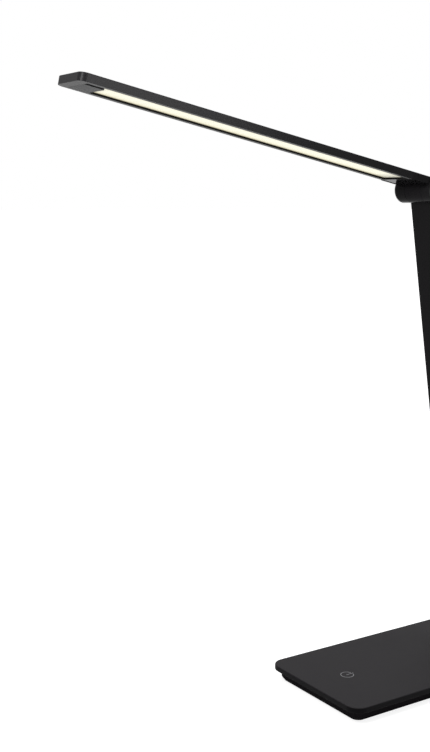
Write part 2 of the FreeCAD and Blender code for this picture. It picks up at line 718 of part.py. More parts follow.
def make_tip():
    nose = bar("tip_nose", "XY_Plane", "tip_length", "head_width", head_thickness,
               ("tip_length / 2 - head_length", "0", "head_rise"))
    box = nose.Shape.BoundBox
    near = sheet.overrun / 1000
    upright = vector(0, 0, 1)
    soften(nose, "tip_corner",
           lambda edge: runs_along(edge, upright) and edge.CenterOfMass.x < box.Center.x)
    soften(nose, "head_edge",
           lambda edge: edge.BoundBox.ZLength < near and edge.BoundBox.XMin < box.XMax - near)
    cap = fuse("tip_cap", [nose, head_tongue("tip_tongue", "cover_length", f"-{profile_end}")])
    cover = block("cover_block", ("cover_length - cover_gap / 2", f"{opening_width} - 2 * cover_gap",
                                  "lip_thickness + diffuser_thickness"),
                  (f"-{profile_end}", f"-{opening_width} / 2 + cover_gap", "head_rise"))
    return [head_frame(cap), head_frame(group("tip_cover_plate", [cover]))]


def make_light():
    near = "(block_length + head_tongue)"
    strip = f"({light_start} - {near} - fit_gap)"
    board_z = f"({head_ceiling} - led_board_thickness)"
    board = block("led_strip", (strip, "led_board_width", "led_board_thickness"),
                  (f"-{light_start}", "-led_board_width / 2", board_z))
    chips = [block("led_chip", ("led_size", "led_size", "led_height"),
                   (f"{strip} * {number + 0.5} / {led_count} - {light_start} - led_size / 2",
                    "-led_size / 2", f"{board_z} - led_height")) for number in range(led_count)]
    lit = block("diffuser_sheet", (f"{light_start} - block_length - 2 * fit_gap",
                                   f"{channel_width} - 2 * fit_gap", "diffuser_thickness"),
                (f"-{light_start} + fit_gap", f"-{channel_width} / 2 + fit_gap", head_lip))
    wire = rod("head_wire_run", head_wire, f"{near} - barrel_radius - part_gap",
               (f"-{near}", "0", wire_middle), "x")
    made = [group("led_board", [board]), group("leds", chips), group("diffuser", [lit]),
            group("head_wire", [wire])]
    return [head_frame(item) for item in made]


# The lamp

touch_icon = make_icon()
nodes = [make_tray(), make_top_plate(touch_icon), touch_icon, make_wires()]
nodes += make_base_inside() + make_inlet() + make_foot()
nodes += [make_arm_tube(), make_arm_fork(), make_arm_wire()] + make_arm_plug()
nodes += make_hinge_set("base_hinge", arm_frame)
nodes += make_swivel()
nodes += [make_head_profile(), make_head_fork()] + make_tip() + make_light()
nodes += make_hinge_set("head_hinge", head_frame)
doc.recompute()

# Checks, then one file for each node

for item in doc.Objects:
    if {"Invalid", "Error"} & set(item.State):
        raise RuntimeError("failed object: " + item.Name)
for item in nodes:
    if item.Shape.isNull() or not item.Shape.isValid():
        raise RuntimeError("bad shape: " + item.Name)
os.makedirs("parts", exist_ok=True)
for item in nodes:
    item.Label = item.Name
    item.Shape.exportStep("parts/" + item.Label + ".step")
    print(item.Label, len(item.Shape.Solids), "solids", round(item.Shape.Volume, 1), "mm3")
print(len(nodes), "nodes")
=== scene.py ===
import bpy
import bmesh
from math import copysign, cos, pi, radians, sin
from mathutils import Matrix, Vector


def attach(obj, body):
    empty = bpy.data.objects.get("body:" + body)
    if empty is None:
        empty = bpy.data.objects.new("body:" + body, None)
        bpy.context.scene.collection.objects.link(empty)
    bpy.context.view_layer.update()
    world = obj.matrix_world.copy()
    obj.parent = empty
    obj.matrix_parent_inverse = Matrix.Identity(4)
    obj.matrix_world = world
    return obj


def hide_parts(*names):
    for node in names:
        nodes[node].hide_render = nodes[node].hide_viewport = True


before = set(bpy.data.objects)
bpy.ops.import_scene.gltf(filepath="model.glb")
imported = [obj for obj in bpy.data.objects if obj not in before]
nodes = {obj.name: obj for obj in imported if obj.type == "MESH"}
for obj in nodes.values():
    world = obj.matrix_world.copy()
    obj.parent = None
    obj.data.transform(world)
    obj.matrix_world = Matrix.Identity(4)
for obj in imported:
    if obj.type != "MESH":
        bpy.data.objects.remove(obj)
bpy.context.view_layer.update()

mm = 0.001
white = (1, 1, 1)

# The two hinge axes in millimetres, and the lean of the arm and lift of the head at rest
lampLines = {"hingeX": 66.25, "hingeZ": 26.8, "armLean": 8.95,
             "headX": 4.6327, "headZ": 391.049, "headLift": 11.7}


def spaceAt(x, z, turn):
    place = Matrix.Translation((x * mm, 0, z * mm))
    return place @ Matrix.Rotation(radians(turn), 4, "Y") @ Matrix.Scale(mm, 4)


baseSpace = spaceAt(0, 0, 0)
armSpace = spaceAt(lampLines["hingeX"], lampLines["hingeZ"], -lampLines["armLean"])
headSpace = spaceAt(lampLines["headX"], lampLines["headZ"], lampLines["headLift"])
swivelSpace = spaceAt(lampLines["headX"], lampLines["headZ"], -lampLines["armLean"])
print("frame loaded,", len(nodes), "nodes")


# Node helpers, for finishes and for geometry

def feed(tree, socket, value):
    # Links a socket to another, or sets its plain value
    if isinstance(value, bpy.types.NodeSocket):
        tree.links.new(value, socket)
    else:
        socket.default_value = value


def fillNode(tree, node, **values):
    # Each value goes to the input of that name
    for name, value in values.items():
        feed(tree, node.inputs[name.replace("_", " ")], value)
    return node


def addNode(tree, kind, **values):
    return fillNode(tree, tree.nodes.new(kind), **values)


def addMath(tree, operation, *values, kind="ShaderNodeMath", result="Value"):
    node = tree.nodes.new(kind)
    node.operation = operation
    for socket, value in zip(node.inputs, values):
        feed(tree, socket, value)
    return node.outputs[result]


def addMix(tree, factor, first, second, blend="MIX"):
    node = tree.nodes.new("ShaderNodeMix")
    node.data_type = "RGBA"
    node.blend_type = blend
    return fillNode(tree, node, Factor=factor, A=first, B=second).outputs["Result"]


def addNoise(tree, coords, scale, detail=2.0, roughness=0.5):
    noise = addNode(tree, "ShaderNodeTexNoise", Vector=coords, Scale=scale, Detail=detail,
                    Roughness=roughness)
    return noise.outputs["Fac"]


def addRamp(tree, factor, marks):
    # A colour ramp from pairs of place and colour, with the two ends first
    ramp = addNode(tree, "ShaderNodeValToRGB", Fac=factor)
    stops = ramp.color_ramp.elements
    for index, (place, colour) in enumerate(marks):
        stop = stops[index] if index < 2 else stops.new(place)
        stop.position = place
        stop.color = (*colour, 1)
    return ramp.outputs["Color"]


def addBlend(tree, factor, dark, light, low=0.35, high=0.65):
    return addRamp(tree, factor, ((low, dark), (high, light)))


def addRange(tree, factor, toLow, toHigh, low=0.3, high=0.7):
    span = addNode(tree, "ShaderNodeMapRange", Value=factor, From_Min=low, From_Max=high,
                   To_Min=toLow, To_Max=toHigh)
    return span.outputs["Result"]


def addBump(tree, height, shader, look):
    bump = addNode(tree, "ShaderNodeBump", Height=height, Strength=look["strength"], Distance=look["depth"])
    tree.links.new(bump.outputs["Normal"], shader.inputs["Normal"])


# Finishes

def startFinish(name):
    finish = bpy.data.materials.new(name)
    finish.use_nodes = True
    tree = finish.node_tree
    coords = tree.nodes.new("ShaderNodeTexCoord")
    return finish, tree, tree.nodes["Principled BSDF"], coords.outputs["Object"]


# What a grained finish has unless its own look says otherwise
grainLook = {"drift": 24, "driftDetail": 3, "grainDetail": 2, "grainRoughness": 0.6, "speck": 0.25,
             "speckTone": (0.72, 0.72, 0.72), "shine": 0.3, "metal": 0.0, "strength": 0.15, "depth": 0.0001}


def grainedFinish(name, ownLook):
    # Fine moulded or blasted grain over a slow drift of tone and gloss
    look = {**grainLook, **ownLook}
    finish, tree, shader, coords = startFinish(name)
    drift = addNoise(tree, coords, look["drift"], look["driftDetail"])
    grain = addNoise(tree, coords, look["grain"], look["grainDetail"], look["grainRoughness"])
    tone = addBlend(tree, drift, look["dark"], look["light"])
    if "shadedEdgeBand" in look:
        # The turned-down edge is painted darker than the top: painted shade on the plate's sides
        low, high = look["shadedEdgeBand"]
        split = addNode(tree, "ShaderNodeSeparateXYZ", Vector=coords)
        rise = addRange(tree, split.outputs["Z"], 0, 1, low * mm, high * mm)
        tone = addMix(tree, rise, addBlend(tree, drift, look["shadedEdgeDark"], look["shadedEdgeLight"]), tone)
    speck = addBlend(tree, grain, look["speckTone"], white)
    fillNode(tree, shader, Base_Color=addMix(tree, look["speck"], tone, speck, "MULTIPLY"),
             Roughness=addRange(tree, drift, *look["rough"]),
             Specular_IOR_Level=look["shine"], Metallic=look["metal"])
    addBump(tree, grain, shader, look)
    return finish


finishLooks = {
    "plateCoat": {"dark": (0.017, 0.0158, 0.0175), "light": (0.0198, 0.0186, 0.0203), "grain": 5200,
                  # the plate's turned-down edge gets a darker tone below the top: painted shade
                  "rough": (0.5, 0.58), "shine": 0.05, "strength": 0.12, "shadedEdgeBand": (13.0, 13.75),
                  "shadedEdgeDark": (0.0021, 0.0018, 0.0024), "shadedEdgeLight": (0.0028, 0.0024, 0.0031)},
    "trayBlack": {"dark": (0.0212, 0.0189, 0.0217), "light": (0.0258, 0.0233, 0.0264), "grain": 3600,
                  "rough": (0.5, 0.6), "shine": 0.003, "strength": 0.2},
    "armBlack": {"dark": (0.005, 0.0045, 0.0051), "light": (0.0062, 0.0057, 0.0064), "grain": 6000,
                 "rough": (0.4, 0.48), "shine": 0.043, "strength": 0.1},
    "barrelBlack": {"dark": (0.0146, 0.0135, 0.0151), "light": (0.0174, 0.0161, 0.0179), "grain": 5200,
                    "rough": (0.22, 0.28), "shine": 0.013, "strength": 0.06},
    "forkGloss": {"dark": (0.0125, 0.0118, 0.0128), "light": (0.0149, 0.0141, 0.0152), "grain": 5200,
                  "rough": (0.09, 0.13), "shine": 0.018, "strength": 0.02},
    "headBlack": {"dark": (0.0066, 0.0063, 0.0069), "light": (0.0082, 0.0079, 0.0085), "grain": 5200,
                  "rough": (0.34, 0.39), "shine": 0.064, "strength": 0.12},
    "coverGrey": {"dark": (0.039, 0.0392, 0.0407), "light": (0.045, 0.0452, 0.0467), "grain": 4200,
                  "rough": (0.46, 0.55), "shine": 0.1, "strength": 0.15},
    "padRubber": {"dark": (0.022, 0.022, 0.023), "light": (0.031, 0.031, 0.032), "grain": 2600,
                  "rough": (0.75, 0.88), "shine": 0.12, "strength": 0.3},
    "markInk": {"dark": (0.17, 0.17, 0.18), "light": (0.2, 0.2, 0.21), "grain": 7000,
                "rough": (0.5, 0.6), "shine": 0.3, "strength": 0.08},
    "ballastIron": {"dark": (0.11, 0.105, 0.1), "light": (0.2, 0.19, 0.18), "grain": 900,
                    "rough": (0.5, 0.7), "metal": 0.8, "strength": 0.3},
    "platedSteel": {"dark": (0.5, 0.5, 0.51), "light": (0.62, 0.62, 0.63), "grain": 3000,
                    "rough": (0.24, 0.36), "metal": 1.0, "strength": 0.1},
    "pinSteel": {"dark": (0.15, 0.15, 0.155), "light": (0.2, 0.2, 0.205), "grain": 3000,
                 "rough": (0.3, 0.42), "metal": 1.0, "strength": 0.1},
    "bushBrass": {"dark": (0.5, 0.34, 0.14), "light": (0.62, 0.43, 0.19), "grain": 3000,
                  "rough": (0.28, 0.4), "metal": 1.0, "strength": 0.1},
    "frictionFibre": {"dark": (0.3, 0.25, 0.17), "light": (0.42, 0.36, 0.25), "grain": 2400,
                      "rough": (0.6, 0.75), "strength": 0.3},
    "boardGreen": {"dark": (0.012, 0.07, 0.028), "light": (0.018, 0.1, 0.04), "grain": 1800,
                   "rough": (0.32, 0.45), "strength": 0.15},
    "chipBlack": {"dark": (0.012, 0.012, 0.013), "light": (0.03, 0.03, 0.031), "grain": 3200,
                  "rough": (0.4, 0.55), "strength": 0.2},
    "wireSheath": {"dark": (0.02, 0.02, 0.021), "light": (0.035, 0.034, 0.034), "grain": 2600,
                   "rough": (0.42, 0.55), "strength": 0.15},
    "lightBoard": {"dark": (0.68, 0.68, 0.66), "light": (0.76, 0.76, 0.74), "grain": 2600,
                   "rough": (0.35, 0.5), "strength": 0.1},
    "lightChip": {"dark": (0.78, 0.62, 0.2), "light": (0.86, 0.7, 0.26), "grain": 4200,
                  "rough": (0.35, 0.5), "strength": 0.15},
}
finishes = {name: grainedFinish(name, look) for name, look in finishLooks.items()}

# Turned end discs: rings round each barrel's own axis, and from a set reach outwards a rim painted near black
# as painted shade
turnedLook = {"tone": (0.066, 0.0642, 0.066), "pale": (0.08, 0.078, 0.08), "drift": 90, "driftDetail": 3,
              "ringScale": 45, "ringBend": 0.6, "ringDetail": 1.0, "rough": (0.3, 0.38), "metal": 0.35,
              "shine": 0.15, "strength": 0.15, "depth": 0.0001, "shadeRimFrom": 9.72, "shadeRimTo": 9.87,
              # the rim's near-black tone is painted shade
              "shadeRimDark": (0.008, 0.0074, 0.0083), "shadeRimLight": (0.0105, 0.0098, 0.0108)}


def turnedFinish(name, axisX, axisZ):
    look = turnedLook
    finish, tree, shader, coords = startFinish(name)
    mapping = addNode(tree, "ShaderNodeMapping", Vector=coords, Location=(-axisX * mm, 0, -axisZ * mm))
    centred = mapping.outputs["Vector"]
    rings = addNode(tree, "ShaderNodeTexWave", Vector=centred, Scale=look["ringScale"],
                    Distortion=look["ringBend"], Detail=look["ringDetail"])
    rings.wave_type = "RINGS"
    rings.rings_direction = "Y"
    drift = addNoise(tree, coords, look["drift"], look["driftDetail"])
    flat = addMath(tree, "MULTIPLY", centred, (1, 0, 1), kind="ShaderNodeVectorMath", result="Vector")
    reach = addMath(tree, "LENGTH", flat, kind="ShaderNodeVectorMath")
    # Painted shade: the rim is painted dark from a set reach outwards
    rim = addRange(tree, reach, 0, 1, look["shadeRimFrom"] * mm, look["shadeRimTo"] * mm)
    face = addBlend(tree, drift, look["tone"], look["pale"])
    edge = addBlend(tree, drift, look["shadeRimDark"], look["shadeRimLight"])
    fillNode(tree, shader, Base_Color=addMix(tree, rim, face, edge),
             Roughness=addRange(tree, rings.outputs["Fac"], *look["rough"]),
             Metallic=look["metal"], Specular_IOR_Level=look["shine"])
    addBump(tree, rings.outputs["Fac"], shader, look)
    return finish


finishes["baseCapDisc"] = turnedFinish("baseCapDisc", lampLines["hingeX"], lampLines["hingeZ"])
finishes["headCapDisc"] = turnedFinish("headCapDisc", lampLines["headX"], lampLines["headZ"])

# The lit strip: its own map runs 0 to 1 from the tip end to the rear, and 0 to 1 across it
litLook = {"glow": (1.0, 0.982, 0.79), "sideGlow": (0.97, 0.93, 0.69), "edgeGlow": (0.5, 0.44, 0.27),
           "glowSpots": (0.42, 0.58), "sideSpots": (0.15, 0.85), "power": 0.72, "ripples": 40,
           "ripple": (0.97, 1.02), "tipDim": 0.84, "tipReach": 0.03, "rearDim": 0.4, "rearReach": 0.945,
           "body": (0.34, 0.325, 0.285), "bodyShade": 0.95, "shine": 0.1, "frost": 2600,
           "rough": (0.32, 0.46), "strength": 0.1, "depth": 0.0001}


def litFinish():
    look = litLook
    finish, tree, shader, coords = startFinish("litDiffuser")
    stripMap = tree.nodes.new("ShaderNodeUVMap")
    stripMap.uv_map = "strip"
    split = addNode(tree, "ShaderNodeSeparateXYZ", Vector=stripMap.outputs["UV"])
    along, across = split.outputs["X"], split.outputs["Y"]
    # Paler middle, warmer edges
    bands = [(0.0, look["edgeGlow"]), (1.0, look["edgeGlow"])]
    bands += [(spot, look["sideGlow"]) for spot in look["sideSpots"]]
    bands += [(spot, look["glow"]) for spot in look["glowSpots"]]
    # A faint ripple from the row of chips behind, and both ends a little dimmer
    wave = addMath(tree, "COSINE", addMath(tree, "MULTIPLY", along, look["ripples"] * 2 * pi))
    low, high = look["ripple"]
    level = addRange(tree, wave, look["power"] * low, look["power"] * high, -1.0, 1.0)
    ends = addRamp(tree, along, ((0.0, [look["tipDim"]] * 3), (1.0, [look["rearDim"]] * 3),
                                 (look["tipReach"], white), (look["rearReach"], white)))
    frost = addNoise(tree, coords, look["frost"])
    shade = [tone * look["bodyShade"] for tone in look["body"]]
    fillNode(tree, shader, Emission_Color=addRamp(tree, across, bands),
             Emission_Strength=addMath(tree, "MULTIPLY", level, ends),
             Base_Color=addBlend(tree, frost, shade, look["body"]),
             Roughness=addRange(tree, frost, *look["rough"]), Specular_IOR_Level=look["shine"])
    addBump(tree, frost, shader, look)
    return finish


finishes["litDiffuser"] = litFinish()
print("finishes made:", len(finishes))


# Building helpers, in millimetres in a piece's own space

roundSteps = {"lowEdge": 4, "highEdge": 5, "corner": 8, "turned": 96}
leastCorner = 0.05


def arcSteps(radius, steps):
    # Pairs of inset and rise for a quarter round, from the flat to the upright
    turns = [pi / 2 * step / steps for step in range(steps + 1)]
    return [(radius * (1 - sin(turn)), radius * (1 - cos(turn))) for turn in turns]


def edgeLevels(low, high, lowEdge, highEdge):
    # Pairs of inset and height up a side, round at its lower and upper edge
    levels = [(inset, low + rise) for inset, rise in arcSteps(lowEdge, roundSteps["lowEdge"])]
    upper = reversed(arcSteps(highEdge, roundSteps["highEdge"]))
    return levels + [(inset, high - rise) for inset, rise in upper]


def roundedRect(length, width, radius, steps):
    points = []
    for sx, sy, start in ((1, 1, 0), (-1, 1, 90), (-1, -1, 180), (1, -1, 270)):
        for step in range(steps + 1):
            turn = radians(start + 90 * step / steps)
            points.append((sx * (length / 2 - radius) + radius * cos(turn),
                           sy * (width / 2 - radius) + radius * sin(turn)))
    return points


def stackLoops(bm, loops):
    # A closed solid from loops of equal count, joined in order and capped at both ends
    rings = [[bm.verts.new(point) for point in loop] for loop in loops]
    for low, high in zip(rings, rings[1:]):
        for index in range(len(low)):
            after = (index + 1) % len(low)
            bm.faces.new((low[index], low[after], high[after], high[index]))
    bm.faces.new(list(reversed(rings[0])))
    bm.faces.new(rings[-1])


def roundedSlab(bm, length, width, corner, low, high, lowEdge, highEdge, x=0.0, y=0.0,
                steps=roundSteps["corner"]):
    loops = []
    for inset, z in edgeLevels(low, high, lowEdge, highEdge):
        outline = roundedRect(length - 2 * inset, width - 2 * inset, max(corner - inset, leastCorner), steps)
        loops.append([(x + px, y + py, z) for px, py in outline])
    stackLoops(bm, loops)


def slabBetween(bm, start, end, near, far, **rest):
    roundedSlab(bm, end - start, far - near, x=(start + end) / 2, y=(near + far) / 2, **rest)


def turnRound(bm, profile, steps=roundSteps["turned"]):
    # Turns pairs of radius and place along Y about the Y axis, closed on the axis at both ends
    turns = [2 * pi * step / steps for step in range(steps)]
    rings = []
    for radius, along in profile:
        if radius == 0:
            rings.append([bm.verts.new((0, along, 0))])
        else:
            rings.append([bm.verts.new((radius * cos(turn), along, radius * sin(turn))) for turn in turns])
    for first, second in zip(rings, rings[1:]):
        for step in range(steps):
            after = (step + 1) % steps
            corners = [first[step % len(first)], first[after % len(first)],
                       second[after % len(second)], second[step % len(second)]]
            bm.faces.new(list(dict.fromkeys(corners)))


def bakePiece(piece):
    # Leaves the piece a plain mesh with its modifiers' result
    graph = bpy.context.evaluated_depsgraph_get()
    result = bpy.data.meshes.new_from_object(piece.evaluated_get(graph))
    piece.modifiers.clear()
    piece.data = result


# Merging gaps in the mesh's own unit, and angles in degrees
pieceRules = {"mergeMm": 1e-5, "thinMm": 1e-6, "mergeMetres": 1e-6, "thinMetres": 1e-7, "copyMerge": 2e-6,
              "copyFlat": 0.6, "bevelSteps": 3, "bevelAngle": 35, "evenWeight": 100, "sharp": 40,
              "noneSharp": 179}


def finishPiece(name, bm, space, finish, body, slotName, *replaced, bevel=0.0,
                sharpAngle=pieceRules["sharp"]):
    # Cleans a mesh, seats it, gives it its finish and body, and hides the solids it stands for; its slot name
    # is not used
    unit = "Mm" if space else "Metres"
    bmesh.ops.remove_doubles(bm, verts=bm.verts, dist=pieceRules["merge" + unit])
    bmesh.ops.dissolve_degenerate(bm, edges=bm.edges, dist=pieceRules["thin" + unit])
    bmesh.ops.recalc_face_normals(bm, faces=bm.faces)
    if space:
        bm.transform(space)
    mesh = bpy.data.meshes.new(name)
    bm.to_mesh(mesh)
    bm.free()
    mesh.shade_smooth()
    piece = bpy.data.objects.new(name, mesh)
    bpy.context.collection.objects.link(piece)
    if bevel:
        edge = piece.modifiers.new("edge", "BEVEL")
        edge.width = bevel * mm
        edge.segments = pieceRules["bevelSteps"]
        edge.limit_method = "ANGLE"
        edge.angle_limit = radians(pieceRules["bevelAngle"])
        edge.use_clamp_overlap = True
    even = piece.modifiers.new("even", "WEIGHTED_NORMAL")
    even.weight = pieceRules["evenWeight"]
    even.keep_sharp = True
    mesh.set_sharp_from_angle(angle=radians(pieceRules["noneSharp"] if bevel else sharpAngle))
    bakePiece(piece)
    piece.data.materials.clear()
    piece.data.materials.append(finish)
    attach(piece, body)
    if replaced:
        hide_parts(*replaced)
    return piece


def wholeCopy(nodeName):
    # A merged copy of a solid, its flats made whole
    bm = bmesh.new()
    bm.from_mesh(nodes[nodeName].data)
    bmesh.ops.remove_doubles(bm, verts=bm.verts, dist=pieceRules["copyMerge"])
    bmesh.ops.dissolve_limit(bm, angle_limit=radians(pieceRules["copyFlat"]), verts=bm.verts, edges=bm.edges)
    return bm


def softCopy(name, nodeName, finish, body, slotName, bevel):
    # The same with its sharp edges broken
    finishPiece(name, wholeCopy(nodeName), None, finish, body, slotName, nodeName, bevel=bevel)


# Base: top plate, touch mark, tray and inlet, hinge foot, foot pad

plateSizes = {"length": 195.0, "width": 108.0, "corner": 11.5, "low": 9.6, "high": 13.8,
              "lowEdge": 0.4, "highEdge": 0.8, "steps": 14}
bm = bmesh.new()
roundedSlab(bm, **plateSizes)
finishPiece("basePlate", bm, baseSpace, finishes["plateCoat"], "base", "base_plate", "base_top_plate")

# The touch mark: an open ring and a bar through its gap, proud of the plate by a hair
markSizes = {"x": -60.9, "radius": 5.35, "stroke": 0.6, "gap": 2.6, "z": plateSizes["high"], "proud": 0.03,
             "sunk": 0.2, "ringSteps": 72, "barSteps": 4, "endSteps": 6}


def roundEnd(centre, edge, way):
    # Half a turn from one edge of a stroke to the other, without the edges themselves
    steps = markSizes["endSteps"]
    turns = [way * pi * step / steps for step in range(1, steps)]
    return [centre + Matrix.Rotation(turn, 2) @ (edge - centre) for turn in turns]


def markStroke(bm, points):
    # A flat stroke of even width along points, with round ends
    left, right = [], []
    for index, point in enumerate(points):
        ahead = (points[min(index + 1, len(points) - 1)] - points[max(index - 1, 0)]).normalized()
        side = Vector((-ahead.y, ahead.x)) * markSizes["stroke"] / 2
        left.append(point + side)
        right.append(point - side)
    first = roundEnd(points[0], left[0], 1)
    last = roundEnd(points[-1], left[-1], -1)
    outline = list(reversed(left)) + first + right + list(reversed(last))
    low, high = markSizes["z"] - markSizes["sunk"], markSizes["z"] + markSizes["proud"]
    stackLoops(bm, [[(point.x, point.y, z) for point in outline] for z in (low, high)])


bm = bmesh.new()
size = markSizes
middle = size["radius"] - size["stroke"] / 2
spread = (size["gap"] / 2 + size["stroke"] / 2) / middle
sweep = [spread + (2 * pi - 2 * spread) * step / size["ringSteps"] for step in range(size["ringSteps"] + 1)]
markStroke(bm, [Vector((size["x"] + middle * cos(turn), middle * sin(turn))) for turn in sweep])
barStart, barEnd = size["x"] - size["stroke"], size["x"] + size["radius"] + size["stroke"]
barStep = (barEnd - barStart) / size["barSteps"]
markStroke(bm, [Vector((barStart + barStep * step, 0)) for step in range(size["barSteps"] + 1)])
finishPiece("touchMark", bm, baseSpace, finishes["markInk"], "base", "mark", "touch_icon")

# The tray: the solid's walls eased out under the plate, with a slope round the bottom edge
trayEase = {"halfLength": 90.2, "halfWidth": 46.7, "corner": 6.0, "out": 1.25, "newCorner": 4.0,
            "slopeTop": 3.5, "edge": 0.35, "near": 0.05, "slack": 0.01}


def easeWall(x, y):
    # Moves a point of the outer wall outwards and leaves any other point
    ease = trayEase
    beyondX = abs(x) - ease["halfLength"] + ease["corner"]
    beyondY = abs(y) - ease["halfWidth"] + ease["corner"]
    if beyondX > -ease["slack"] and beyondY > -ease["slack"]:
        toEdge = Vector((max(beyondX, 0), max(beyondY, 0)))
        if abs(toEdge.length - ease["corner"]) > ease["near"]:
            return x, y
        toEdge = toEdge.normalized() * ease["newCorner"]
        newX = ease["halfLength"] + ease["out"] - ease["newCorner"] + toEdge.x
        newY = ease["halfWidth"] + ease["out"] - ease["newCorner"] + toEdge.y
        return copysign(newX, x), copysign(newY, y)
    if abs(beyondX - ease["corner"]) < ease["near"]:
        return x + copysign(ease["out"], x), y
    if abs(beyondY - ease["corner"]) < ease["near"]:
        return x, y + copysign(ease["out"], y)
    return x, y


bm = wholeCopy("base_tray")
bm.transform(baseSpace.inverted())
bmesh.ops.bisect_plane(bm, geom=bm.verts[:] + bm.edges[:] + bm.faces[:],
                       plane_co=(0, 0, trayEase["slopeTop"]), plane_no=(0, 0, 1))
for vert in bm.verts:
    if vert.co.z > trayEase["slopeTop"] - trayEase["slack"]:
        vert.co.x, vert.co.y = easeWall(vert.co.x, vert.co.y)
finishPiece("trayShell", bm, baseSpace, finishes["trayBlack"], "base", "black_plastic", "base_tray",
            bevel=trayEase["edge"])

inletEdge = 0.15
softCopy("inletBody", "dc_inlet", finishes["barrelBlack"], "base", "black_plastic", inletEdge)

# Hinge foot: a rounded sole, a neck that flares into it, and the middle knuckle of the barrel
knuckleSizes = {"half": 8.78, "radius": 10.0, "edge": 0.15}
soleSizes = {"length": 26.0, "width": 23.0, "corner": 6.0, "low": 0.0, "high": 2.2, "lowEdge": 0.05,
             "highEdge": 0.5}
neckSizes = {"length": 13.0, "width": 17.0, "corner": 1.0, "flare": 1.6, "sunk": 0.05, "steps": 6}


def turnKnuckle(bm):
    half, radius = knuckleSizes["half"], knuckleSizes["radius"]
    edge = arcSteps(knuckleSizes["edge"], roundSteps["lowEdge"])
    side = [(radius - inset, half - rise) for inset, rise in edge]
    turnRound(bm, [(0, -half)] + [(reach, -along) for reach, along in side] + side[::-1] + [(0, half)])


bm = bmesh.new()
roundedSlab(bm, **soleSizes)
size = neckSizes
axisHeight = lampLines["hingeZ"] - plateSizes["high"]
neckFoot = soleSizes["high"] - size["sunk"]
flare = [(grow, neckFoot + rise) for grow, rise in arcSteps(size["flare"], size["steps"])]
loops = []
for grow, height in flare + [(0, axisHeight)]:
    outline = roundedRect(size["length"] + 2 * grow, size["width"] + 2 * grow, size["corner"] + grow,
                          size["steps"])
    loops.append([(x, y, height) for x, y in outline])
stackLoops(bm, loops)
bm.transform(Matrix.Translation((0, 0, -axisHeight)))
turnKnuckle(bm)
bm.transform(Matrix.Translation((lampLines["hingeX"], 0, lampLines["hingeZ"])))
finishPiece("hingeFoot", bm, baseSpace, finishes["barrelBlack"], "base", "black_plastic", "hinge_foot")
print("base built")


# Geometry trees: each named size is an input of its tree

def startTree(name, inputs):
    tree = bpy.data.node_groups.new(name, "GeometryNodeTree")
    tree.interface.new_socket("Geometry", in_out="OUTPUT", socket_type="NodeSocketGeometry")
    for label, value in inputs.items():
        kind = "NodeSocketInt" if isinstance(value, int) else "NodeSocketFloat"
        tree.interface.new_socket(label, in_out="INPUT", socket_type=kind)
    source = tree.nodes.new("NodeGroupInput")
    return tree, source.outputs, tree.nodes.new("NodeGroupOutput")


def treeVector(tree, x, y, z):
    return addNode(tree, "ShaderNodeCombineXYZ", X=x, Y=y, Z=z).outputs["Vector"]


def treeOutline(tree, width, height, inputs):
    outline = addNode(tree, "GeometryNodeCurvePrimitiveQuadrilateral", Width=width, Height=height)
    rounded = tree.nodes.new("GeometryNodeFilletCurve")
    rounded.mode = "POLY"
    fillNode(tree, rounded, Curve=outline.outputs["Curve"], Radius=inputs["Corner"],
             Count=inputs["Corner Steps"])
    return rounded.outputs["Curve"]


def treeJoin(tree, *parts):
    joined = tree.nodes.new("GeometryNodeJoinGeometry")
    for part in parts:
        tree.links.new(part, joined.inputs["Geometry"])
    return joined.outputs["Geometry"]


def closeTree(tree, geometry, finish, output):
    whole = addNode(tree, "GeometryNodeRealizeInstances", Geometry=geometry)
    dressed = addNode(tree, "GeometryNodeSetMaterial", Geometry=whole.outputs["Geometry"], Material=finish)
    tree.links.new(dressed.outputs["Geometry"], output.inputs["Geometry"])


def growPiece(name, tree, inputs, space, finish, body, slotName, *replaced, sharpAngle=pieceRules["sharp"]):
    # Runs a tree on an empty mesh, keeps its result as a plain mesh and seats it in its space
    piece = bpy.data.objects.new(name, bpy.data.meshes.new(name))
    bpy.context.collection.objects.link(piece)
    grow = piece.modifiers.new("grow", "NODES")
    grow.node_group = tree
    for socket in tree.interface.items_tree:
        if socket.item_type == "SOCKET" and socket.in_out == "INPUT":
            grow[socket.identifier] = inputs[socket.name]
    bakePiece(piece)
    bm = bmesh.new()
    bm.from_mesh(piece.data)
    bpy.data.objects.remove(piece)
    finishPiece(name, bm, space, finish, body, slotName, *replaced, sharpAngle=sharpAngle)


# The foot pad: a rubber sheet with rows of small grip studs below it
padSizes = {"Length": 172.4, "Width": 85.4, "Corner": 5.0, "Corner Steps": 8, "Skin": 0.45, "Margin": 3.6,
            "Stud Radius": 1.1, "Stud Taper": 0.72, "Stud Height": 0.35, "Stud Bury": 0.1, "Stud Sides": 14,
            "Columns": 34, "Rows": 17}
studAngle = 30


